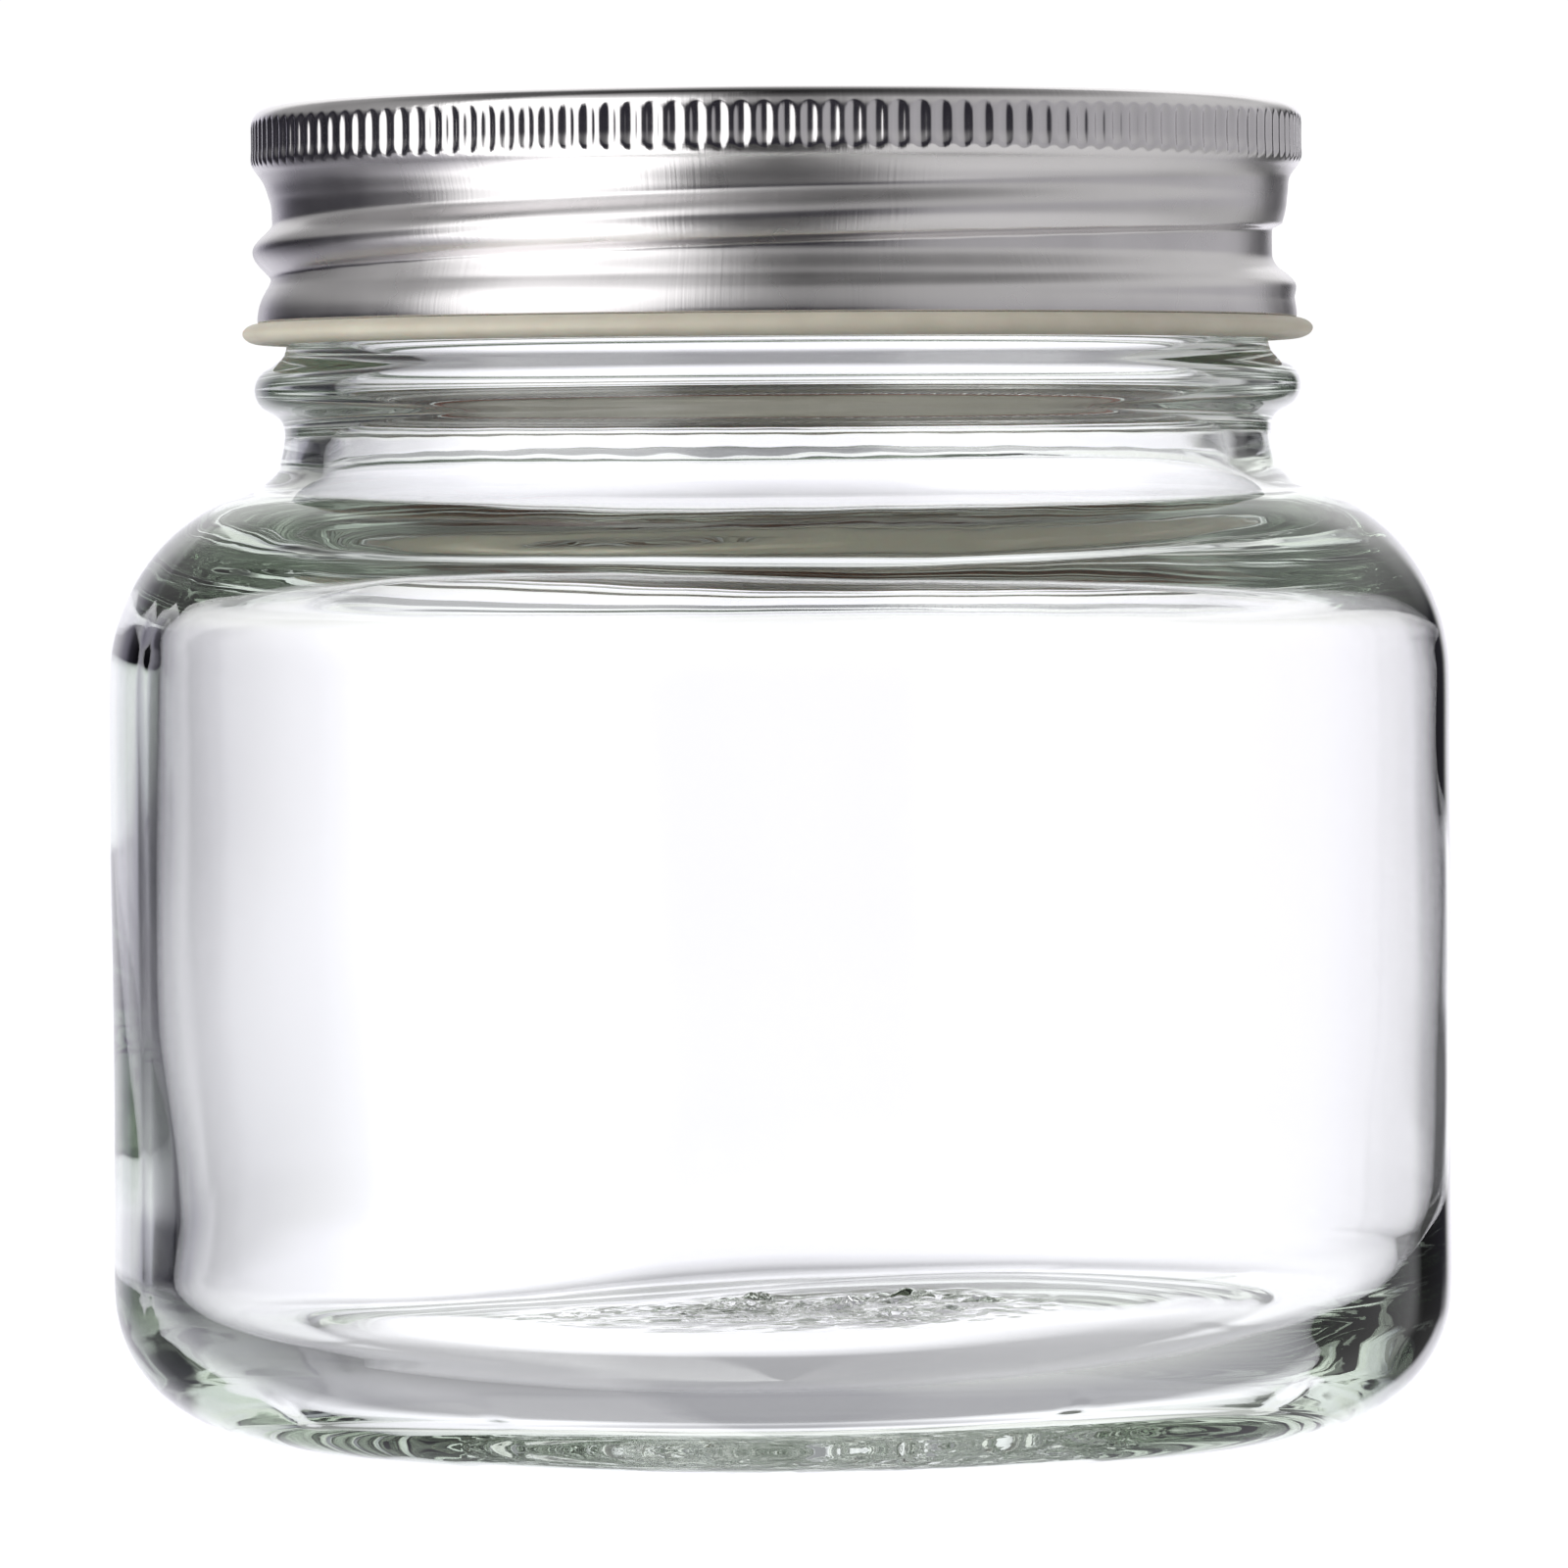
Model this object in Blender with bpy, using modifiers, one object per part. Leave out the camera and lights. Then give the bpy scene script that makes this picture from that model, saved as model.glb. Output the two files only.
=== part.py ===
"""Squat mason jar with a rubber shoulder ring and a two-piece screw closure.

Frame: origin at the centre of the base, +Z up through the mouth, -Y is the front.
The closed jar is 92.1 mm tall. Lengths below are in millimetres and scaled by MM.
"""

import math

import bpy

MM = 0.001

# Overall sizes
CLOSED_HEIGHT = 92.1
BODY_RADIUS = 46.9
HEEL_RADIUS = 9.6
BEARING_WIDTH = 2.7
BEARING_PADS = 4
PAD_HALF_ANGLE = 12.0
PAD_HEIGHT = 0.15
PUSH_UP = 2.1
FLOOR_Z = 4.9
FLOOR_CROWN = 0.2
FLOOR_CORNER = 7.7
WALL_LOW = 3.0
WALL_MIDDLE = 2.3
WALL_HIGH = 1.7

# Shoulder: an elliptical arc outside and one inside, both ending in the neck
SHOULDER_Z = 52.0
SHOULDER_OUTER = (34.3, 12.6, 13.6)
SHOULDER_INNER_Z = 53.6
SHOULDER_INNER = (38.6, 6.6, 6.9)

# Neck and finish of the glass
MOUTH_RADIUS = 31.0
NECK_RADIUS = 34.7
RING_SEAT_RADIUS = 34.35
FINISH_RADIUS = 34.2
FINISH_TOP_Z = 89.75
LIP_ROUND = 0.9
BEAD_Z = 72.4
BEAD_RADIUS = 36.65
BEAD_ROUND = 1.7

# Right-hand thread: one turn of glass ridge, and the bulge and groove rolled into the band.
# An angle along the thread is counted from the front (-Y) towards +X, in degrees.
PITCH = 6.35
THREAD_FRONT_Z = 83.6
GLASS_RIDGE_HEIGHT = 1.4
GLASS_RIDGE_HALF = 1.4
GLASS_RIDGE_SHIFT = -0.3
GLASS_RIDGE_IN = (-285.0, -258.0)
GLASS_RIDGE_OUT = (30.0, 75.0)
ROLLED_BULGE = 1.2
ROLLED_BULGE_HALF = 1.7
ROLLED_BULGE_IN = (-460.0, -220.0)
ROLLED_BULGE_OUT = (20.0, 130.0)
ROLLED_GROOVE = 0.45
ROLLED_GROOVE_HALF = 1.1
ROLLED_GROOVE_SHIFT = -1.8
ROLLED_GROOVE_IN = (-115.0, -15.0)
ROLLED_GROOVE_OUT = (120.0, 200.0)

# Shoulder ring of rubber
RING_RADIUS = 37.5
RING_TOP_Z = 77.05
RING_THICKNESS = 1.45

# Tinplate closure
SHEET = 0.3
GAP = 0.3
RIM_RADIUS = 36.75
RIM_CORNER = 1.3
BAND_OPENING_RADIUS = 30.5
BAND_BOTTOM_Z = RING_TOP_Z + GAP
DISC_RADIUS = 34.3
SEAL_INNER_RADIUS = 31.3
SEAL_OUTER_RADIUS = 33.9

STEPS = 48
BAND_STEPS = 60
THREAD_ROW = 0.7


def clear_scene():
    for obj in list(bpy.data.objects):
        bpy.data.objects.remove(obj, do_unlink=True)


def new_material(name, colour, roughness, metallic=0.0, transmission=0.0):
    material = bpy.data.materials.new(name)
    material.use_nodes = True
    shader = material.node_tree.nodes["Principled BSDF"]
    shader.inputs["Base Color"].default_value = (*colour, 1.0)
    shader.inputs["Roughness"].default_value = roughness
    shader.inputs["Metallic"].default_value = metallic
    shader.inputs["Transmission Weight"].default_value = transmission
    return material


def arc(centre, radii, start, end, count):
    """count points along an elliptical arc, with angles in degrees from +r towards +z."""
    points = []
    for i in range(count):
        angle = math.radians(start + (end - start) * i / (count - 1))
        points.append((centre[0] + radii[0] * math.cos(angle), centre[1] + radii[1] * math.sin(angle)))
    return points


def smooth(value, start, end):
    """0 before start, 1 after end, and an S-shaped ramp between them."""
    t = min(1.0, max(0.0, (value - start) / (end - start)))
    return t * t * (3.0 - 2.0 * t)


def ridge(distance, half):
    """A rounded ridge of height 1 whose foot is half wide on each side."""
    if abs(distance) >= half:
        return 0.0
    return math.cos(0.5 * math.pi * distance / half) ** 2


def along_thread(x, y, z):
    """(angle, height above the thread's centre line) for each turn that passes near z."""
    front_angle = math.degrees(math.atan2(x, -y))
    for turn in (-2, -1, 0):
        angle = front_angle + 360.0 * turn
        yield angle, z - THREAD_FRONT_Z - PITCH * angle / 360.0


def glass_thread(x, y, z):
    height = 0.0
    for angle, above in along_thread(x, y, z):
        ends = smooth(angle, *GLASS_RIDGE_IN) * (1.0 - smooth(angle, *GLASS_RIDGE_OUT))
        height += GLASS_RIDGE_HEIGHT * ends * ridge(above - GLASS_RIDGE_SHIFT, GLASS_RIDGE_HALF)
    return height


def rolled_thread(x, y, z):
    height = 0.0
    for angle, above in along_thread(x, y, z):
        bulge_ends = smooth(angle, *ROLLED_BULGE_IN) * (1.0 - smooth(angle, *ROLLED_BULGE_OUT))
        groove_ends = smooth(angle, *ROLLED_GROOVE_IN) * (1.0 - smooth(angle, *ROLLED_GROOVE_OUT))
        below_edge = 1.0 - 0.75 * (1.0 - smooth(z, BAND_BOTTOM_Z, BAND_BOTTOM_Z + 2.6))
        height += ROLLED_BULGE * bulge_ends * below_edge * ridge(above, ROLLED_BULGE_HALF)
        height -= ROLLED_GROOVE * groove_ends * ridge(above - ROLLED_GROOVE_SHIFT, ROLLED_GROOVE_HALF)
    return height


def turned(name, profile, material, collection, steps=STEPS, closed=False):
    """A profile of (r, z) points in millimetres, swept once round the Z axis."""
    count = len(profile)
    edges = [(i, i + 1) for i in range(count - 1)]
    if closed:
        edges.append((count - 1, 0))
    mesh = bpy.data.meshes.new(name)
    mesh.from_pydata([(r * MM, 0.0, z * MM) for r, z in profile], edges, [])
    mesh.materials.append(material)
    obj = bpy.data.objects.new(name, mesh)
    collection.objects.link(obj)
    screw = obj.modifiers.new("turn", "SCREW")
    screw.axis = "Z"
    screw.steps = steps
    screw.render_steps = steps
    screw.use_merge_vertices = True
    screw.merge_threshold = 0.00001
    screw.use_smooth_shade = True
    return obj


def bake_modifiers(obj):
    """Turns the object's evaluated shape into its own mesh, so that points can be moved."""
    bpy.context.view_layer.update()
    graph = bpy.context.evaluated_depsgraph_get()
    mesh = bpy.data.meshes.new_from_object(obj.evaluated_get(graph))
    obj.modifiers.clear()
    obj.data = mesh


def push_thread(obj, change, low_z, high_z, least_radius):
    """Moves each point of the threaded wall along its radius by change(x, y, z)."""
    for vertex in obj.data.vertices:
        x, y, z = (value / MM for value in vertex.co)
        radius = math.hypot(x, y)
        if radius < least_radius or not low_z < z < high_z:
            continue
        factor = 1.0 + change(x, y, z) / radius
        vertex.co.x *= factor
        vertex.co.y *= factor


def finish_shading(obj):
    obj.data.shade_smooth()
    obj.data.set_sharp_from_angle(angle=math.radians(40.0))


def rows(start, end, spacing):
    """Evenly spaced heights from start down to end, both included."""
    count = max(1, round((start - end) / spacing))
    return [start + (end - start) * i / count for i in range(count + 1)]


def jar_inside():
    """The cavity, from the middle of the floor up to the lip."""
    corner = (BODY_RADIUS - WALL_LOW - FLOOR_CORNER, FLOOR_Z + FLOOR_CORNER)
    centre_r, reach_r, reach_z = SHOULDER_INNER
    points = [(0.0, FLOOR_Z + FLOOR_CROWN), (18.0, FLOOR_Z + 0.7 * FLOOR_CROWN)]
    points += arc(corner, (FLOOR_CORNER, FLOOR_CORNER), -90.0, -4.0, 7)
    points += [(BODY_RADIUS - WALL_MIDDLE, 21.0), (BODY_RADIUS - WALL_HIGH, 38.0)]
    points += arc((centre_r, SHOULDER_INNER_Z), (reach_r, reach_z), 0.0, 80.0, 7)
    points += [(36.6, 61.0), (34.6, 61.8), (33.0, 63.2), (31.9, 65.0), (31.3, 67.5), (MOUTH_RADIUS, 71.0)]
    lip_centre = (MOUTH_RADIUS + LIP_ROUND, FINISH_TOP_Z - LIP_ROUND)
    return points + arc(lip_centre, (LIP_ROUND, LIP_ROUND), 180.0, 90.0, 4)


def jar_outside():
    """The outer wall, from the lip down to the middle of the base."""
    lip_centre = (FINISH_RADIUS - LIP_ROUND, FINISH_TOP_Z - LIP_ROUND)
    points = arc(lip_centre, (LIP_ROUND, LIP_ROUND), 90.0, 0.0, 4)
    points += [(FINISH_RADIUS, z) for z in rows(87.2, 77.4, THREAD_ROW)]
    points += [(RING_SEAT_RADIUS, 76.8), (RING_SEAT_RADIUS, 75.4), (34.6, 74.8)]
    bead_centre = (BEAD_RADIUS - BEAD_ROUND, BEAD_Z)
    points += arc(bead_centre, (BEAD_ROUND, BEAD_ROUND), 68.0, -62.0, 7)
    points += [(34.9, 70.4), (34.5, 69.6), (NECK_RADIUS, 68.0), (35.0, 66.9), (35.9, 66.0)]
    centre_r, reach_r, reach_z = SHOULDER_OUTER
    points += arc((centre_r, SHOULDER_Z), (reach_r, reach_z), 76.0, 0.0, 8)
    points += [(BODY_RADIUS, 31.0)]
    heel_centre = (BODY_RADIUS - HEEL_RADIUS, HEEL_RADIUS)
    points += arc(heel_centre, (HEEL_RADIUS, HEEL_RADIUS), 0.0, -90.0, 7)
    bearing = BODY_RADIUS - HEEL_RADIUS - BEARING_WIDTH
    points += [(bearing, 0.0), (bearing - 1.2, 0.6), (bearing - 4.5, 1.4)]
    return points + [(20.0, 0.95 * PUSH_UP), (0.0, PUSH_UP)]


def raise_between_pads(obj):
    """Leaves the bearing ring touching the table on a few pads, so that the jar stands firm."""
    step = 360.0 / BEARING_PADS
    for vertex in obj.data.vertices:
        angle = math.degrees(math.atan2(vertex.co.y, vertex.co.x))
        from_pad = abs(angle % step - 0.5 * step)
        if vertex.co.z < 0.1 * MM and from_pad > PAD_HALF_ANGLE:
            vertex.co.z += PAD_HEIGHT * MM


def make_glass_jar(collection):
    glass = new_material("clear_glass", (0.86, 0.92, 0.88), 0.03, transmission=0.9)
    jar = turned("glass_jar", jar_inside() + jar_outside(), glass, collection)
    bake_modifiers(jar)
    push_thread(jar, glass_thread, 77.0, 87.5, 33.0)
    raise_between_pads(jar)
    finish_shading(jar)


def make_shoulder_ring(collection):
    rubber = new_material("cream_rubber", (0.78, 0.74, 0.62), 0.6)
    inner = RING_SEAT_RADIUS + GAP
    half = 0.5 * RING_THICKNESS
    middle = RING_TOP_Z - half
    profile = [(inner, RING_TOP_Z)]
    profile += arc((RING_RADIUS - 1.5, middle), (1.5, half), 90.0, -90.0, 9)
    profile += [(inner, RING_TOP_Z - RING_THICKNESS)]
    ring = turned("shoulder_ring", profile, rubber, collection, closed=True)
    bake_modifiers(ring)
    finish_shading(ring)


def disc_top():
    """Upper face of the lid disc, from its middle out to its edge."""
    rim = CLOSED_HEIGHT - SHEET - GAP
    return [
        (0.0, rim + 0.15),
        (6.0, rim + 0.05),
        (8.0, rim - 0.25),
        (9.0, rim - 0.35),
        (23.0, rim - 0.35),
        (24.2, rim - 0.75),
        (28.6, rim - 0.75),
        (29.6, rim - 0.1),
        (30.2, rim),
        (DISC_RADIUS, rim),
    ]


def make_lid_disc(collection):
    tinplate = new_material("tinplate_disc", (0.72, 0.72, 0.74), 0.28, metallic=1.0)
    disc = turned("lid_disc", disc_top(), tinplate, collection)
    bake_modifiers(disc)
    thickness = disc.modifiers.new("sheet", "SOLIDIFY")
    thickness.thickness = SHEET * MM
    thickness.offset = -1.0
    finish_shading(disc)


def make_lid_seal(collection):
    compound = new_material("seal_compound", (0.62, 0.26, 0.16), 0.5)
    top = CLOSED_HEIGHT - 2.0 * SHEET - 2.0 * GAP
    bottom = FINISH_TOP_Z + GAP
    middle = 0.5 * (SEAL_INNER_RADIUS + SEAL_OUTER_RADIUS)
    half_width = 0.5 * (SEAL_OUTER_RADIUS - SEAL_INNER_RADIUS)
    profile = [(SEAL_OUTER_RADIUS, top), (SEAL_OUTER_RADIUS, bottom + 0.4)]
    profile += arc((middle, bottom + 0.4), (0.85 * half_width, 0.4), 0.0, -180.0, 5)
    profile += [(SEAL_INNER_RADIUS, bottom + 0.4), (SEAL_INNER_RADIUS, top)]
    seal = turned("lid_seal", profile, compound, collection, closed=True)
    bake_modifiers(seal)
    finish_shading(seal)


def band_outside():
    """Outer face of the band, from its opening over the rim and down the skirt."""
    rim_centre = (RIM_RADIUS - RIM_CORNER, CLOSED_HEIGHT - RIM_CORNER)
    points = [(BAND_OPENING_RADIUS, CLOSED_HEIGHT)]
    points += arc(rim_centre, (RIM_CORNER, RIM_CORNER), 90.0, 0.0, 5)
    points += [(RIM_RADIUS, 88.3), (36.5, 87.8), (36.05, 87.2), (35.75, 86.6)]
    skirt = [(85.9, 35.5), (85.2, 35.4), (84.0, 35.4), (82.0, 35.5), (80.6, 35.65), (79.9, 35.8)]
    heights = rows(85.9, 79.9, THREAD_ROW)
    for z in heights:
        for (high_z, high_r), (low_z, low_r) in zip(skirt, skirt[1:]):
            if low_z <= z <= high_z:
                share = (high_z - z) / (high_z - low_z)
                points.append((high_r + (low_r - high_r) * share, z))
                break
    return points + [(35.9, 79.3), (36.15, 78.5), (36.3, 77.9), (36.4, BAND_BOTTOM_Z)]


def make_screw_band(collection):
    tinplate = new_material("tinplate_band", (0.66, 0.66, 0.69), 0.34, metallic=1.0)
    band = turned("screw_band", band_outside(), tinplate, collection, steps=BAND_STEPS)
    bake_modifiers(band)
    push_thread(band, rolled_thread, BAND_BOTTOM_Z - 0.1, 87.4, 33.0)
    thickness = band.modifiers.new("sheet", "SOLIDIFY")
    thickness.thickness = SHEET * MM
    thickness.offset = -1.0
    finish_shading(band)


def main():
    clear_scene()
    collection = bpy.data.collections.new("mason_jar")
    bpy.context.scene.collection.children.link(collection)
    make_glass_jar(collection)
    make_shoulder_ring(collection)
    make_lid_disc(collection)
    make_lid_seal(collection)
    make_screw_band(collection)


main()
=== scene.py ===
"""Looks of a squat glass mason jar with a rubber shoulder ring and a two-piece screw closure.

Profiles are (radius, height) points in millimetres. Angles round the jar are counted from
the front (-Y) towards +X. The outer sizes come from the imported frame's boxes, and the rest
are stated below.
"""

import math

import bpy
import numpy as np
from mathutils import Matrix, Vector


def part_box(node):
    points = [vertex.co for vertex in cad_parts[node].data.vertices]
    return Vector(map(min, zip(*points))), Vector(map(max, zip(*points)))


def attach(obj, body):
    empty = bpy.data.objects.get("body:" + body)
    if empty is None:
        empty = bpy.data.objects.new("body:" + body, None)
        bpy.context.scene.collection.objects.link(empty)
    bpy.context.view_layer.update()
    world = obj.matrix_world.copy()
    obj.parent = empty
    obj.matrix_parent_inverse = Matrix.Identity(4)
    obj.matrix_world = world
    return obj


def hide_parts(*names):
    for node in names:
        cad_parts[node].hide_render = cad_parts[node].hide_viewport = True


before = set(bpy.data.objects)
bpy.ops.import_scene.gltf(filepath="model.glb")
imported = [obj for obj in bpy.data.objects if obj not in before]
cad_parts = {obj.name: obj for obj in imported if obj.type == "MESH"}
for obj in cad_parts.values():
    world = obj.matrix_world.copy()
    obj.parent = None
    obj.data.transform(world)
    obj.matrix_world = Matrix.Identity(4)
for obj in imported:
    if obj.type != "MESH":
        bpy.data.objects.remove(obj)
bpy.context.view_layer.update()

MM = 0.001


def box_mm(node):
    """The lowest and highest corner of a node's box, in millimetres."""
    low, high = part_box(node)
    return low / MM, high / MM


# ---------------------------------------------------------------- sizes from the frame

jar_high = box_mm("glass_jar")[1]
ring_low, ring_high = box_mm("shoulder_ring")
band_low, band_high = box_mm("screw_band")
disc_high = box_mm("lid_disc")[1]
seal_low, seal_high = box_mm("lid_seal")

BODY_R = jar_high.x
FINISH_TOP = jar_high.z
RING_R = ring_high.x
RING_TOP = ring_high.z + 0.05
RING_BOTTOM = ring_low.z
RIM_R = 36.72
TOP = band_high.z
BAND_BOTTOM = band_low.z - 0.2

# Thread shared by the glass and the band
PITCH = 6.35
THREAD_FRONT_Z = 83.6

# Glass
MOUTH_R = 31.0
FINISH_R = 34.2
RING_SEAT_R = 34.35
BEAD_R = 36.65
BEAD_Z = 72.4
BEAD_ROUND = 1.7
LIP_ROUND = 0.9
HEEL = 9.6
GLASS_THREAD_HEIGHT = 1.4
GLASS_THREAD_HALF = 1.4

# How blown glass departs from its turned shape
CAVITY_SHIFT = 1.0
WALL_WAVE = 0.07
WALL_RIPPLE = 0.012
SHOULDER_WAVE = 0.11
SHOULDER_RIPPLE = 0.008
NECK_RIPPLE = 0.005
FLOOR_WAVE = 0.16
SIDE_WAVE = 0.05
SEAM_ANGLES = (-68.0, 112.0)
SEAM_HEIGHT = 0.03
SEAM_HALF_ANGLE = 1.3
PARTING_LINE_Z = 67.6
PARTING_LINE_HEIGHT = 0.07
PARTING_LINE_HALF = 0.45
BASE_STIPPLE = 0.6
FLOOR_STIPPLE = 0.42
PAD_HEIGHT = 0.15
PAD_HALF_ANGLE = 12.0
PAD_END_ANGLE = 16.0

# Band, disc and seal
REEDS = 154
REED_DEPTH = 0.2
REED_HALF_WIDTH = 0.36
REED_MIDDLE_Z = 89.5
REED_HALF_HEIGHT = 1.65
RIB_HALF = 1.9
RIB_HEIGHT = 1.45
PRESSED_DEPTH = 0.6
BAND_OPENING_R = 30.5
BAND_CORNER = 1.3
BAND_SHEET = 0.28
DISC_SHEET = 0.25
SEAL_INNER_R = 31.3

# Rubber ring
RING_EDGE_ROUND = 1.5
RING_CLEARANCE = 0.12

# Looks
GLASS_TINT = (0.71, 0.78, 0.70, 1.0)
GLASS_TINT_DENSITY = 28.0
DISC_COLOUR = (0.76, 0.76, 0.77)
DISC_ROUGHNESS = 0.24
DISC_BURNISHED = (90.0, 91.0)
BAND_COLOUR = (0.74, 0.72, 0.725)
BAND_ROUGHNESS = 0.28
BAND_BURNISHED = (87.4, 88.0)
BURNISHED_SHARE = 0.55

# Stage and camera, in metres and degrees unless a name says otherwise
FLOOR_RADIUS = 0.75
FLOOR_Z = -0.0002
WORLD_STRENGTH = 2.5
BACKDROP_WHITE = 1.05
LENS_MM = 212.4
SENSOR_WIDTH_MM = 36.0
CAMERA_PLACE = (0.00027, -0.649, 0.0666)
CAMERA_DOWN = 1.94
CAMERA_ROLL_RADIANS = -0.0065


# ---------------------------------------------------------------- shared mesh code

def smooth(value, start, end):
    """0 before start, 1 after end, and an S-shaped ramp between them."""
    t = np.clip((value - start) / (end - start), 0.0, 1.0)
    return t * t * (3.0 - 2.0 * t)


def ridge(distance, half):
    """A rounded ridge of height 1 whose foot is half wide on each side."""
    inside = np.clip(np.abs(distance) / half, 0.0, 1.0)
    return np.cos(0.5 * math.pi * inside) ** 2


def arc(centre, radii, start, end, count):
    """count points on an elliptical arc, with angles in degrees from +r towards +z."""
    angles = np.radians(np.linspace(start, end, count))
    across, up = centre
    return [(across + radii[0] * math.cos(a), up + radii[1] * math.sin(a)) for a in angles]


def curve_through(points, spacing):
    """Points about spacing apart on a smooth curve through the given ones."""
    given = np.array(points, float)
    padded = np.vstack([2 * given[0] - given[1], given, 2 * given[-1] - given[-2]])
    out = []
    for p0, p1, p2, p3 in zip(padded, padded[1:], padded[2:], padded[3:]):
        spans = ((p0, p1), (p1, p2), (p2, p3))
        knots = np.cumsum([0.0] + [math.sqrt(np.linalg.norm(b - a)) for a, b in spans])
        count = max(1, round(float(np.linalg.norm(p2 - p1)) / spacing))
        for t in knots[1] + (knots[2] - knots[1]) * np.arange(count) / count:
            a1 = p0 + (p1 - p0) * (t - knots[0]) / (knots[1] - knots[0])
            a2 = p1 + (p2 - p1) * (t - knots[1]) / (knots[2] - knots[1])
            a3 = p2 + (p3 - p2) * (t - knots[2]) / (knots[3] - knots[2])
            b1 = a1 + (a2 - a1) * (t - knots[0]) / (knots[2] - knots[0])
            b2 = a2 + (a3 - a2) * (t - knots[1]) / (knots[3] - knots[1])
            out.append(b1 + (b2 - b1) * (t - knots[1]) / (knots[2] - knots[1]))
    out.append(given[-1])
    out = np.array(out)
    out[:, 0] = np.maximum(out[:, 0], 0.0)
    return out


def even_angles(steps):
    """Angles of a full turn in degrees that start at the back."""
    return 180.0 + np.arange(steps) * 360.0 / steps


def turned(name, profile, angle, change=None, closed=False):
    """A surface turned round Z at the given angles. change(angle, r, z) may move its points.

    A closed profile is joined from its last point back to its first.
    """
    profile = np.array(profile, float)
    steps = len(angle)
    angle_grid = np.repeat(angle[None, :], len(profile), 0)
    r_grid = np.repeat(profile[:, :1], steps, 1)
    z_grid = np.repeat(profile[:, 1:], steps, 1)
    if change:
        r_grid, z_grid = change(angle_grid, r_grid, z_grid)
    turn = np.radians(angle_grid)
    points = np.stack([r_grid * np.sin(turn), -r_grid * np.cos(turn), z_grid], -1) * MM
    length = np.concatenate([[0.0], np.cumsum(np.linalg.norm(np.diff(profile, axis=0), axis=1))])
    vertices, index = [], []
    for row, on_axis in zip(points, profile[:, 0] < 1e-6):
        start = len(vertices)
        vertices.extend(row[:1] if on_axis else row)
        index.append([start] * steps if on_axis else list(range(start, start + steps)))
    faces, uvs = [], []
    row_pairs = [(i, i + 1) for i in range(len(profile) - 1)]
    if closed:
        row_pairs.append((len(profile) - 1, 0))
    for high, low in row_pairs:
        top_v = length[high]
        low_v = length[low] if low else length[-1] + np.linalg.norm(profile[0] - profile[-1])
        for i in range(steps):
            j = (i + 1) % steps
            corners = [(index[high][i], i, top_v), (index[low][i], i, low_v)]
            corners += [(index[low][j], i + 1, low_v), (index[high][j], i + 1, top_v)]
            kept = [c for n, c in enumerate(corners) if c[0] != corners[n - 1][0]]
            faces.append([c[0] for c in kept])
            uvs.extend((c[1] / steps, c[2] * MM) for c in kept)
    mesh = bpy.data.meshes.new(name)
    mesh.from_pydata(vertices, [], faces)
    layer = mesh.uv_layers.new(name="turned")
    layer.data.foreach_set("uv", np.array(uvs, np.float32).ravel())
    mesh.polygons.foreach_set("use_smooth", [True] * len(mesh.polygons))
    obj = bpy.data.objects.new(name, mesh)
    bpy.context.scene.collection.objects.link(obj)
    return obj


def waves(angle, z, seed, count, turns, heights):
    """Smooth unevenness of about -1 to 1, made of a few slanting waves round the jar."""
    rng = np.random.default_rng(seed)
    total = np.zeros_like(z)
    for _ in range(count):
        around = rng.integers(turns[0], turns[1] + 1)
        along = 2.0 * math.pi / rng.uniform(*heights) * rng.choice((-1.0, 1.0))
        total += np.sin(np.radians(angle) * around + along * z + rng.uniform(0.0, 2.0 * math.pi))
    return total / math.sqrt(count)


# ---------------------------------------------------------------- threads

def along_thread(angle, z):
    """(angle along the thread, height above its centre line) for each turn near z."""
    front_angle = (angle + 180.0) % 360.0 - 180.0
    for turn in (-2, -1, 0):
        along = front_angle + 360.0 * turn
        yield along, z - THREAD_FRONT_Z - PITCH * along / 360.0


def glass_thread(angle, z):
    """How far the glass thread stands out, with both of its ends running out."""
    height = np.zeros_like(z)
    for along, above in along_thread(angle, z):
        ends = smooth(along, -285.0, -258.0) * (1.0 - smooth(along, 30.0, 75.0))
        height += GLASS_THREAD_HEIGHT * ends * ridge(above + 0.3, GLASS_THREAD_HALF)
    return height


def rolled_thread(angle, z):
    """The band's thread: a rounded rib, and below it a strip pressed in towards its lower end."""
    height = np.zeros_like(z)
    for along, above in along_thread(angle, z):
        rib_ends = smooth(along, -460.0, -220.0) * (1.0 - smooth(along, -110.0, 178.0))
        sharpness = np.where(above > 0.0, 1.6, 1.2)
        rib = np.cos(0.5 * math.pi * np.clip(above / RIB_HALF, -1.0, 1.0)) ** sharpness
        height += RIB_HEIGHT * rib_ends * smooth(z, 78.2, 80.4) * rib
        pressed_ends = smooth(along, -120.0, 60.0) * (1.0 - smooth(along, 120.0, 178.0))
        pressed = smooth(above, -1.5, -1.9) * smooth(z, 79.9, 81.4)
        height -= PRESSED_DEPTH * pressed_ends * pressed
    return height


# ---------------------------------------------------------------- pieces

def jar_inside():
    """The cavity from the middle of its floor up to the lip."""
    points = [(0.0, 5.1), (9.0, 5.08), (18.0, 5.02), (27.0, 4.95), (33.0, 4.9)]
    points += arc((37.4, 12.3), (6.5, 7.4), -90.0, -4.0, 10)
    points += [(44.2, 19.0), (44.7, 28.0), (45.1, 37.0), (45.3, 47.0)]
    points += arc((38.6, 53.6), (6.7, 6.9), 0.0, 80.0, 9)
    points += [(36.6, 61.0), (34.6, 61.8), (33.0, 63.2), (31.9, 65.0), (31.3, 67.5)]
    points += [(MOUTH_R, 71.0), (MOUTH_R, 80.0)]
    lip = (MOUTH_R + LIP_ROUND, FINISH_TOP - LIP_ROUND)
    return points + arc(lip, (LIP_ROUND, LIP_ROUND), 180.0, 90.0, 5)


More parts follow.
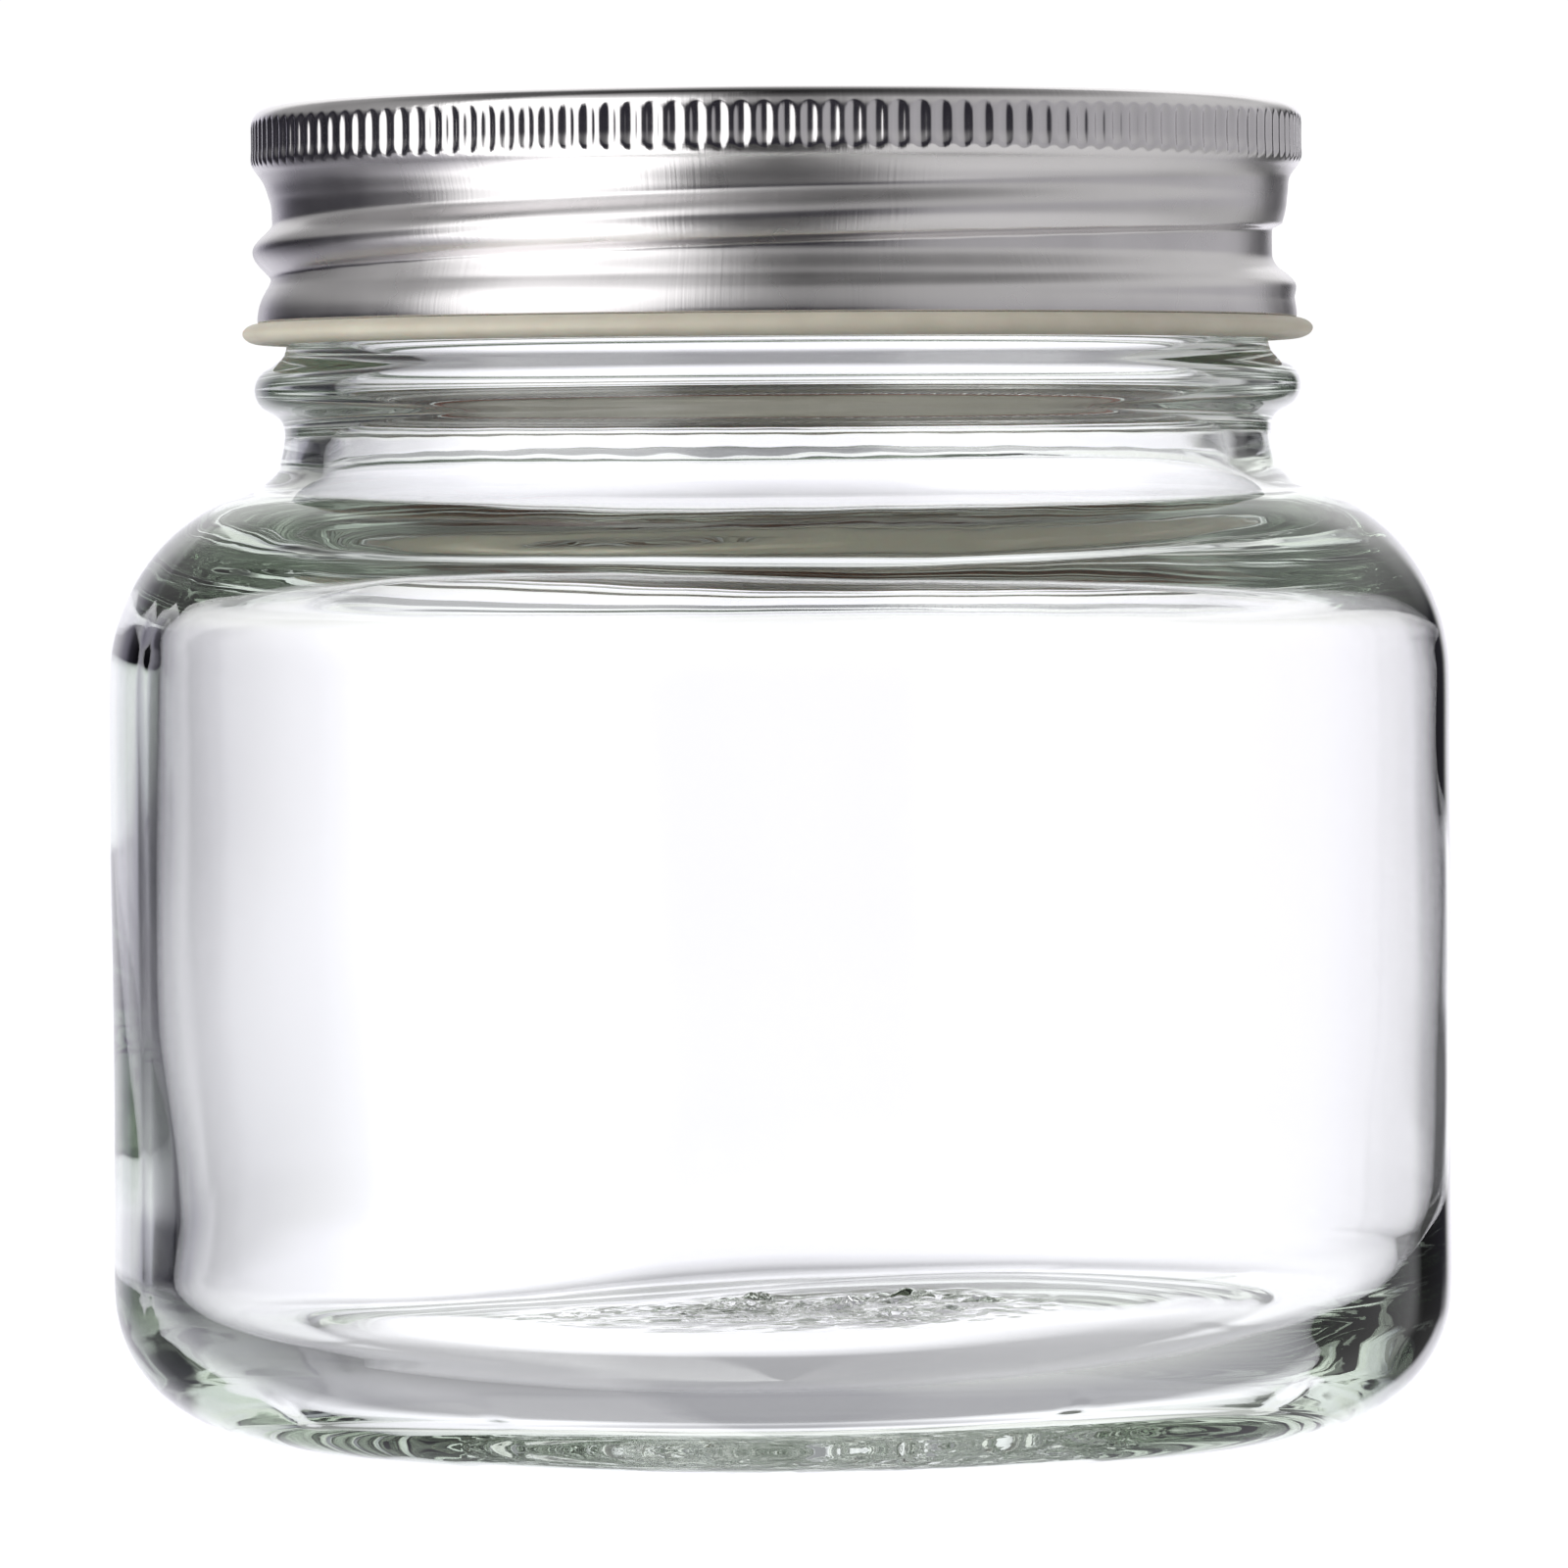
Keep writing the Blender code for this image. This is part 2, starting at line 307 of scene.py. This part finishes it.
def jar_outside():
    """The outside from the lip down to the middle of the pushed-up base."""
    lip = (FINISH_R - LIP_ROUND, FINISH_TOP - LIP_ROUND)
    points = arc(lip, (LIP_ROUND, LIP_ROUND), 90.0, 0.0, 5)
    points += [(FINISH_R, z) for z in np.linspace(87.2, 77.6, 5)]
    points += [(RING_SEAT_R, 76.8), (RING_SEAT_R, 75.4), (34.6, 74.8)]
    points += arc((BEAD_R - BEAD_ROUND, BEAD_Z), (BEAD_ROUND, BEAD_ROUND), 66.0, -62.0, 9)
    points += [(34.9, 70.4), (34.55, 69.6), (34.7, 68.0), (35.0, 66.9), (35.9, 66.0)]
    points += arc((34.3, 52.0), (12.6, 13.6), 76.0, 0.0, 12)
    points += [(BODY_R, z) for z in (45.0, 31.0, 17.0)]
    points += arc((BODY_R - HEEL, HEEL), (HEEL, HEEL), 0.0, -90.0, 10)
    points += [(36.0, 0.0), (34.8, 0.05), (33.4, 0.6)]
    return points + [(30.1, 1.4), (24.0, 1.85), (14.0, 2.05), (0.0, 2.1)]


def uneven_glass(inner_rows):
    """The unevenness of blown glass, with its thread, seams, foot pads and marked base.

    The profile's first inner_rows points are the inside, and the rest are the outside.
    """

    def change(angle, r, z):
        r, z = r.copy(), z.copy()
        inner = np.zeros_like(r)
        inner[:inner_rows] = 1.0
        outer = 1.0 - inner

        cavity = inner * smooth(z, 4.8, 16.0) * (1.0 - smooth(z, 58.0, 66.0)) * smooth(r, 20.0, 36.0)
        r += cavity * CAVITY_SHIFT * np.sin(np.radians(angle))
        wall = inner * smooth(z, 9.0, 18.0) * (1.0 - smooth(z, 66.0, 76.0))
        r += wall * WALL_WAVE * waves(angle, z, 3, 7, (1, 4), (35.0, 90.0))
        r += wall * WALL_RIPPLE * waves(angle, z, 8, 9, (4, 12), (14.0, 40.0))
        shoulder = inner * ridge(z - 61.0, 8.0)
        z += shoulder * SHOULDER_WAVE * waves(angle, r, 12, 7, (1, 6), (6.0, 16.0))
        z += shoulder * SHOULDER_RIPPLE * waves(angle, r, 14, 12, (9, 38), (3.0, 8.0))
        neck = inner * ridge(z - 68.0, 5.0)
        r += neck * NECK_RIPPLE * waves(angle, z, 15, 12, (12, 44), (2.0, 5.0))
        floor = inner * (1.0 - smooth(z, 10.0, 16.0)) * (r > 0.5)
        z += floor * FLOOR_WAVE * waves(angle, r, 21, 8, (1, 5), (14.0, 40.0))

        finish = outer * smooth(z, 77.0, 78.0) * (1.0 - smooth(z, 87.0, 88.5))
        r += finish * glass_thread(angle, z)
        side = outer * (z > 8.0) * (z < 67.0) * (r > 34.4)
        r += side * SIDE_WAVE * waves(angle, z, 31, 6, (1, 5), (30.0, 80.0))
        for seam in SEAM_ANGLES:
            away = np.abs((angle - seam + 180.0) % 360.0 - 180.0)
            r += side * SEAM_HEIGHT * ridge(away, SEAM_HALF_ANGLE)
        parting_line = ridge(z - PARTING_LINE_Z, PARTING_LINE_HALF)
        r += outer * (r > 34.0) * PARTING_LINE_HEIGHT * parting_line

        from_pad = np.abs(angle % 90.0 - 45.0)
        foot = outer * (r > 33.0) * (1.0 - smooth(z, 0.0, 1.0))
        z += foot * PAD_HEIGHT * smooth(from_pad, PAD_HALF_ANGLE, PAD_END_ANGLE)
        grains = waves(angle, r, 41, 14, (9, 30), (1.8, 4.5))
        stipple = grains * waves(angle, r, 43, 8, (2, 7), (5.0, 14.0))
        marked = stipple * smooth(r, 0.5, 4.0) * (1.0 - smooth(r, 13.0, 20.0))
        z += outer * (z < 4.0) * BASE_STIPPLE * marked + floor * FLOOR_STIPPLE * marked
        return r, z

    return change


def make_jar():
    inside = curve_through(jar_inside(), 0.7)
    outside = curve_through(jar_outside(), 0.5)
    profile = np.vstack([inside, outside])
    jar = turned("jar_glass", profile, even_angles(360), uneven_glass(len(inside)))
    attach(jar, "jar")
    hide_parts("glass_jar")
    return jar


def make_ring():
    half = 0.5 * (RING_TOP - RING_BOTTOM)
    middle = RING_BOTTOM + half
    inner = RING_SEAT_R + RING_CLEARANCE
    points = [(inner, RING_TOP - 0.25), (inner + 0.3, RING_TOP)]
    points += arc((RING_R - RING_EDGE_ROUND, middle), (RING_EDGE_ROUND, half), 90.0, -90.0, 15)
    points += [(inner + 0.3, RING_BOTTOM), (inner, RING_BOTTOM + 0.25)]

    def change(angle, r, z):
        edge = smooth(r, RING_R - 1.0, RING_R)
        return r - edge * 0.05 * (1.0 + waves(angle, z, 51, 6, (2, 9), (20.0, 40.0))), z

    ring = turned("neck_ring", curve_through(points, 0.16)[:-1], even_angles(288), change, closed=True)
    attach(ring, "jar")
    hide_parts("shoulder_ring")
    return ring


def disc_profile():
    """The disc's top from its middle outwards: a raised button, a flat, a pressed ring and the rim."""
    rim = disc_high.z
    points = [(0.0, rim + 0.05), (4.0, rim + 0.03), (7.5, rim - 0.18), (8.8, rim - 0.35)]
    points += [(10.0, rim - 0.38), (16.0, rim - 0.36), (22.6, rim - 0.35), (23.4, rim - 0.45)]
    points += [(24.2, rim - 0.72), (25.2, rim - 0.78), (27.8, rim - 0.78), (28.7, rim - 0.7)]
    points += [(29.4, rim - 0.22), (30.2, rim - 0.05), (31.4, rim)]
    return points + [(33.4, rim), (34.0, rim - 0.05), (34.3, rim - 0.25)]


def make_disc():
    disc = turned("lid_plate", curve_through(disc_profile(), 0.35), even_angles(256))
    add_sheet(disc, DISC_SHEET, lining=1)
    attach(disc, "lid")
    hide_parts("lid_disc")
    return disc


def add_sheet(obj, thickness, lining=0):
    """Thickens a surface inwards. The inside takes the material lining places after the outside's."""
    sheet = obj.modifiers.new("sheet", "SOLIDIFY")
    sheet.material_offset = lining
    sheet.thickness = thickness * MM
    sheet.offset = -1.0
    sheet.use_even_offset = True


def make_seal():
    top, bottom = seal_high.z + 0.2, seal_low.z
    inner, outer = SEAL_INNER_R, seal_high.x
    middle = 0.5 * (inner + outer)
    points = [(outer, top), (outer, bottom + 0.5)]
    points += arc((middle, bottom + 0.45), (0.46 * (outer - inner), 0.45), -8.0, -172.0, 9)
    points += [(inner, bottom + 0.5), (inner, top)]
    seal = turned("seal_compound_ring", curve_through(points, 0.25), even_angles(256), closed=True)
    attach(seal, "lid")
    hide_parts("lid_seal")
    return seal


def band_profile():
    """The band from the edge of its open top, over the reeded rim and down to its flared edge."""
    points = [(BAND_OPENING_R, TOP - 0.25), (BAND_OPENING_R + 0.25, TOP), (31.5, TOP), (33.5, TOP)]
    points += arc((RIM_R - BAND_CORNER, TOP - BAND_CORNER), (BAND_CORNER, BAND_CORNER), 90.0, 0.0, 7)
    points += [(RIM_R, 90.2), (RIM_R, 89.2), (RIM_R, 88.2), (36.5, 87.75), (36.15, 87.3), (35.8, 86.7)]
    points += [(35.55, 85.95), (35.38, 85.4), (35.3, 84.4), (35.25, 82.5), (35.28, 81.2), (35.36, 80.3)]
    points += [(35.5, 79.8), (35.78, 79.3), (36.04, 78.8), (36.22, 78.3), (36.32, 77.8)]
    return points + [(36.36, BAND_BOTTOM + 0.1), (36.3, BAND_BOTTOM)]


def reed_angles():
    """Angles that put points on each reed's edges, and more of them across its hollow."""
    within = np.array([0.0, 0.14, 0.24, 0.37, 0.5, 0.63, 0.76, 0.86])
    return 180.0 + (np.arange(REEDS)[:, None] + within[None, :]).ravel() * 360.0 / REEDS


def make_band():
    def change(angle, r, z):
        """Adds the rolled thread below the rim and the reeds round it."""
        r, z = r.copy(), z.copy()
        r += (z < 87.4) * (r > 33.0) * rolled_thread(angle, z)
        across = (((angle - 180.0) * REEDS / 360.0) % 1.0 - 0.5) / REED_HALF_WIDTH
        up = (z - REED_MIDDLE_Z) / REED_HALF_HEIGHT
        r -= (r > 35.0) * REED_DEPTH * np.clip(1.0 - across ** 2 - up ** 4, 0.0, 1.0)
        return r, z

    band = turned("reeded_band", curve_through(band_profile(), 0.16), reed_angles(), change)
    add_sheet(band, BAND_SHEET)
    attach(band, "band")
    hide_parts("screw_band")
    return band


# ---------------------------------------------------------------- materials

def new_material(name):
    """(material, its nodes, its links, its Principled shader)"""
    material = bpy.data.materials.new(name)
    material.use_nodes = True
    nodes, links = material.node_tree.nodes, material.node_tree.links
    return material, nodes, links, nodes["Principled BSDF"]


def noise_node(nodes, links, coordinate, scale, detail, stretch=(1.0, 1.0, 1.0)):
    mapping = nodes.new("ShaderNodeMapping")
    mapping.inputs["Scale"].default_value = stretch
    links.new(coordinate, mapping.inputs["Vector"])
    noise = nodes.new("ShaderNodeTexNoise")
    noise.inputs["Scale"].default_value = scale
    noise.inputs["Detail"].default_value = detail
    links.new(mapping.outputs["Vector"], noise.inputs["Vector"])
    return noise.outputs["Fac"]


def bump_node(nodes, links, height, strength, distance):
    bump = nodes.new("ShaderNodeBump")
    bump.inputs["Strength"].default_value = strength
    bump.inputs["Distance"].default_value = distance
    links.new(height, bump.inputs["Height"])
    return bump.outputs["Normal"]


def ramp_node(nodes, links, factor, stops):
    """A colour ramp through (position, colour) stops."""
    ramp = nodes.new("ShaderNodeValToRGB")
    elements = ramp.color_ramp.elements
    while len(elements) < len(stops):
        elements.new(0.5)
    for element, (position, colour) in zip(elements, stops):
        element.position = position
        element.color = (*colour, 1.0)
    links.new(factor, ramp.inputs["Fac"])
    return ramp.outputs["Color"]


def glass_material():
    material, nodes, links, shader = new_material("blown_glass")
    shader.inputs["Base Color"].default_value = (1.0, 1.0, 1.0, 1.0)
    shader.inputs["Roughness"].default_value = 0.0
    shader.inputs["IOR"].default_value = 1.5
    shader.inputs["Transmission Weight"].default_value = 1.0
    place = nodes.new("ShaderNodeTexCoord").outputs["Object"]
    ripple = noise_node(nodes, links, place, 70.0, 1.0)
    links.new(bump_node(nodes, links, ripple, 0.06, 0.0006), shader.inputs["Normal"])
    tint = nodes.new("ShaderNodeVolumeAbsorption")
    tint.inputs["Color"].default_value = GLASS_TINT
    tint.inputs["Density"].default_value = GLASS_TINT_DENSITY
    links.new(tint.outputs["Volume"], nodes["Material Output"].inputs["Volume"])
    return material


def rubber_material():
    material, nodes, links, shader = new_material("cream_ring_rubber")
    place = nodes.new("ShaderNodeTexCoord").outputs["Object"]
    mottle = noise_node(nodes, links, place, 240.0, 3.0)
    colour = ramp_node(nodes, links, mottle, [(0.35, (0.80, 0.75, 0.61)), (0.65, (0.87, 0.82, 0.68))])
    links.new(colour, shader.inputs["Base Color"])
    shader.inputs["Roughness"].default_value = 0.55
    shader.inputs["Subsurface Weight"].default_value = 0.15
    shader.inputs["Subsurface Scale"].default_value = 0.001
    grain = noise_node(nodes, links, place, 1400.0, 2.0)
    links.new(bump_node(nodes, links, grain, 0.25, 0.00012), shader.inputs["Normal"])
    return material


def tinplate_material(name, colour, roughness, burnished):
    """Satin tinplate: fine brush lines and faint blotches, burnished above the two heights given."""
    material, nodes, links, shader = new_material(name)
    shader.inputs["Metallic"].default_value = 1.0
    around = nodes.new("ShaderNodeUVMap")
    around.uv_map = "turned"
    place = nodes.new("ShaderNodeTexCoord").outputs["Object"]
    lines = noise_node(nodes, links, around.outputs["UV"], 1.0, 3.0, (900.0, 90.0, 1.0))
    blotches = noise_node(nodes, links, place, 160.0, 3.0)
    darker = tuple(0.94 * c for c in colour)
    lighter = tuple(min(1.0, 1.05 * c) for c in colour)
    tones = ramp_node(nodes, links, blotches, [(0.3, darker), (0.7, lighter)])
    links.new(tones, shader.inputs["Base Color"])

    split = nodes.new("ShaderNodeSeparateXYZ")
    links.new(place, split.inputs["Vector"])
    zone = nodes.new("ShaderNodeMapRange")
    links.new(split.outputs["Z"], zone.inputs["Value"])
    zone.inputs["From Min"].default_value = burnished[0] * MM
    zone.inputs["From Max"].default_value = burnished[1] * MM
    zone.inputs["To Min"].default_value = 1.0
    zone.inputs["To Max"].default_value = BURNISHED_SHARE
    level = nodes.new("ShaderNodeMapRange")
    links.new(blotches, level.inputs["Value"])
    level.inputs["From Min"].default_value = 0.3
    level.inputs["From Max"].default_value = 0.7
    level.inputs["To Min"].default_value = 0.86 * roughness
    level.inputs["To Max"].default_value = 1.16 * roughness
    product = nodes.new("ShaderNodeMath")
    product.operation = "MULTIPLY"
    links.new(zone.outputs["Result"], product.inputs[0])
    links.new(level.outputs["Result"], product.inputs[1])
    links.new(product.outputs["Value"], shader.inputs["Roughness"])
    links.new(bump_node(nodes, links, lines, 0.12, 0.00006), shader.inputs["Normal"])
    return material


def lacquer_material():
    material, nodes, links, shader = new_material("lid_lacquer")
    place = nodes.new("ShaderNodeTexCoord").outputs["Object"]
    cloud = noise_node(nodes, links, place, 90.0, 3.0)
    colour = ramp_node(nodes, links, cloud, [(0.35, (0.71, 0.68, 0.55)), (0.65, (0.77, 0.73, 0.61))])
    links.new(colour, shader.inputs["Base Color"])
    shader.inputs["Roughness"].default_value = 0.35
    grain = noise_node(nodes, links, place, 900.0, 2.0)
    links.new(bump_node(nodes, links, grain, 0.15, 0.00005), shader.inputs["Normal"])
    return material


def seal_material():
    material, nodes, links, shader = new_material("seal_plastisol")
    place = nodes.new("ShaderNodeTexCoord").outputs["Object"]
    mottle = noise_node(nodes, links, place, 300.0, 2.0)
    colour = ramp_node(nodes, links, mottle, [(0.35, (0.50, 0.19, 0.12)), (0.65, (0.58, 0.24, 0.16))])
    links.new(colour, shader.inputs["Base Color"])
    shader.inputs["Roughness"].default_value = 0.4
    links.new(bump_node(nodes, links, mottle, 0.2, 0.0001), shader.inputs["Normal"])
    return material


def paint(obj, *materials):
    obj.data.materials.clear()
    for material in materials:
        obj.data.materials.append(material)


# ---------------------------------------------------------------- stage, light and camera

def floor_material():
    """A white floor that glows like a light table."""
    material, _, _, shader = new_material("pale_floor")
    shader.inputs["Base Color"].default_value = (0.3, 0.3, 0.3, 1.0)
    shader.inputs["Roughness"].default_value = 0.9
    shader.inputs["Specular IOR Level"].default_value = 0.0
    shader.inputs["Emission Color"].default_value = (1.0, 1.0, 1.0, 1.0)
    shader.inputs["Emission Strength"].default_value = 1.0
    return material


def make_floor():
    """A floor for the camera to see. Reflections and refractions show the studio instead."""
    bpy.ops.mesh.primitive_circle_add(
        vertices=96, radius=FLOOR_RADIUS, fill_type="NGON", location=(0.0, 0.0, FLOOR_Z))
    floor = bpy.context.object
    floor.name = "floor"
    floor.visible_glossy = False
    floor.visible_transmission = False
    floor.visible_diffuse = False
    paint(floor, floor_material())


def grey(value, cool=0.0):
    """A grey of the given brightness, with its blue raised by the share cool."""
    return (value * (1.0 - 0.25 * cool), value * (1.0 - 0.5 * cool), value * (1.0 + cool))


def feed(links, sockets, values):
    """Gives each socket its value, which is a number, a colour or another node's output."""
    for socket, value in zip(sockets, values):
        if isinstance(value, bpy.types.NodeSocket):
            links.new(value, socket)
        else:
            socket.default_value = value


# Four rings of light round the horizon, as (bearing in degrees, brightness, coolness). Bearing 0 is
# behind the jar, -90 its left, 90 its right and 180 the camera. Black cards at both sides of the
# white backdrop give the glass its dark outlines, and a softbox stands at the left.
LEVEL_LIGHT = [
    (-180, 0.03, 0.2), (-157, 0.03, 0.2), (-146, 1.55, 0.0), (-108, 1.55, 0.0), (-96, 0.04, 0.2),
    (-35, 0.02, 0.2), (-31, 0.08, 0.2), (-28, 0.36, 0.15), (-25, 0.5, 0.12), (-22, 0.7, 0.07),
    (-19, 0.88, 0.05), (-13, 0.92, 0.05), (-10, 1.02, 0.04), (-6, 1.2, 0.04), (15, 1.2, 0.04),
    (18, 0.5, 0.0), (20, 0.04, 0.2), (38, 0.04, 0.0), (43, 0.6, 0.03), (60, 0.5, 0.03),
    (144, 0.44, 0.03), (161, 0.03, 0.2),
]
SLANT_LIGHT = [
    (-180, 0.03, 0.2), (-157, 0.03, 0.2), (-146, 1.55, 0.0), (-108, 1.55, 0.0), (-96, 0.06, 0.1),
    (-50, 0.06, 0.1), (-34, 0.2, 0.1), (-26, 0.55, 0.08), (-20, 0.9, 0.05), (-12, 1.1, 0.05),
    (-6, 1.25, 0.05), (20, 1.25, 0.04), (24, 0.1, 0.0), (36, 0.1, 0.0), (43, 0.6, 0.0),
    (60, 0.5, 0.0), (144, 0.44, 0.03), (161, 0.03, 0.2),
]
BELOW_LIGHT = [
    (-180, 0.08, 0.0), (-157, 0.1, 0.0), (-146, 2.3, 0.0), (-100, 2.3, 0.0), (-84, 0.6, 0.05),
    (-60, 0.2, 0.05), (-30, 0.4, 0.06), (22, 0.42, 0.06), (60, 0.7, 0.0), (146, 0.8, 0.0),
    (161, 0.1, 0.0),
]
ABOVE_LIGHT = [
    (-180, 0.3, 0.0), (-165, 0.5, 0.0), (-152, 1.9, 0.0), (-104, 1.9, 0.0), (-88, 0.4, 0.0),
    (-50, 0.3, 0.0), (-28, 0.4, 0.0), (-18, 1.1, 0.0), (20, 1.2, 0.0), (30, 0.6, 0.0),
    (45, 0.7, 0.0), (150, 0.5, 0.0), (168, 0.3, 0.0),
]

# Heights where one ring gives way to the next, as (height, share). Height 0 is straight down,
# 0.5 the horizon and 1 straight up.
ABOVE_SHARE = [(0.54, 0.0), (0.66, 1.0)]
SLANT_SHARE = [(0.41, 1.0), (0.46, 0.0)]
BELOW_SHARE = [(0.24, 1.0), (0.33, 0.0)]
CEILING_SHADE = [(0.82, 1.0), (0.92, 0.4), (1.0, 0.03)]


def make_world():
    """A soft studio of four rings of light that blend by height, under a dark ceiling.

    The glass and the metal see it. The camera itself sees a plain white backdrop.
    """
    world = bpy.data.worlds.new("studio")
    bpy.context.scene.world = world
    world.use_nodes = True
    nodes, links = world.node_tree.nodes, world.node_tree.links
    place = nodes.new("ShaderNodeTexCoord").outputs["Generated"]
    split = nodes.new("ShaderNodeSeparateXYZ")
    links.new(place, split.inputs["Vector"])

    def math_node(operation, *values):
        node = nodes.new("ShaderNodeMath")
        node.operation = operation
        feed(links, node.inputs, values)
        return node.outputs["Value"]

    def mix_node(blend, factor, first, second):
        mix = nodes.new("ShaderNodeMix")
        mix.data_type = "RGBA"
        mix.blend_type = blend
        feed(links, [mix.inputs[name] for name in ("Factor", "A", "B")], (factor, first, second))
        return mix.outputs["Result"]

    bearing = math_node("ARCTAN2", split.outputs["X"], split.outputs["Y"])
    turn_share = math_node("MULTIPLY_ADD", bearing, 0.5 / math.pi, 0.5)
    height = math_node("MULTIPLY_ADD", split.outputs["Z"], 0.5, 0.5)

    def around(ring):
        stops = []
        for degrees, value, cool in ring:
            colour = tuple(channel / WORLD_STRENGTH for channel in grey(value, cool))
            stops.append((0.5 + degrees / 360.0, colour))
        return ramp_node(nodes, links, turn_share, stops)

    def by_height(shares):
        return ramp_node(nodes, links, height, [(position, grey(value)) for position, value in shares])

    light = mix_node("MIX", by_height(ABOVE_SHARE), around(LEVEL_LIGHT), around(ABOVE_LIGHT))
    light = mix_node("MIX", by_height(SLANT_SHARE), light, around(SLANT_LIGHT))
    light = mix_node("MIX", by_height(BELOW_SHARE), light, around(BELOW_LIGHT))
    light = mix_node("MULTIPLY", 1.0, light, by_height(CEILING_SHADE))
    to_camera = nodes.new("ShaderNodeLightPath").outputs["Is Camera Ray"]
    white = (*grey(BACKDROP_WHITE / WORLD_STRENGTH), 1.0)
    light = mix_node("MIX", to_camera, light, white)
    links.new(light, nodes["Background"].inputs["Color"])
    nodes["Background"].inputs["Strength"].default_value = WORLD_STRENGTH


def make_camera():
    data = bpy.data.cameras.new("camera")
    data.lens = LENS_MM
    data.sensor_width = SENSOR_WIDTH_MM
    data.clip_start = 0.05
    data.clip_end = 20.0
    camera = bpy.data.objects.new("camera", data)
    bpy.context.scene.collection.objects.link(camera)
    camera.location = CAMERA_PLACE
    pitch = Matrix.Rotation(math.radians(90.0 - CAMERA_DOWN), 3, "X")
    roll = Matrix.Rotation(CAMERA_ROLL_RADIANS, 3, "Z")
    camera.rotation_euler = (pitch @ roll).to_euler()
    bpy.context.scene.camera = camera


# ---------------------------------------------------------------- the scene

bpy.context.scene.view_settings.view_transform = "Standard"
# Light crosses and bounces inside thick glass many times before it leaves
bpy.context.scene.cycles.max_bounces = 32
bpy.context.scene.cycles.glossy_bounces = 24
bpy.context.scene.cycles.transmission_bounces = 32
make_floor()
make_world()
make_camera()
paint(make_jar(), glass_material())
paint(make_ring(), rubber_material())
disc_tinplate = tinplate_material("disc_tinplate", DISC_COLOUR, DISC_ROUGHNESS, DISC_BURNISHED)
paint(make_disc(), disc_tinplate, lacquer_material())
paint(make_seal(), seal_material())
paint(make_band(), tinplate_material("band_tinplate", BAND_COLOUR, BAND_ROUGHNESS, BAND_BURNISHED))
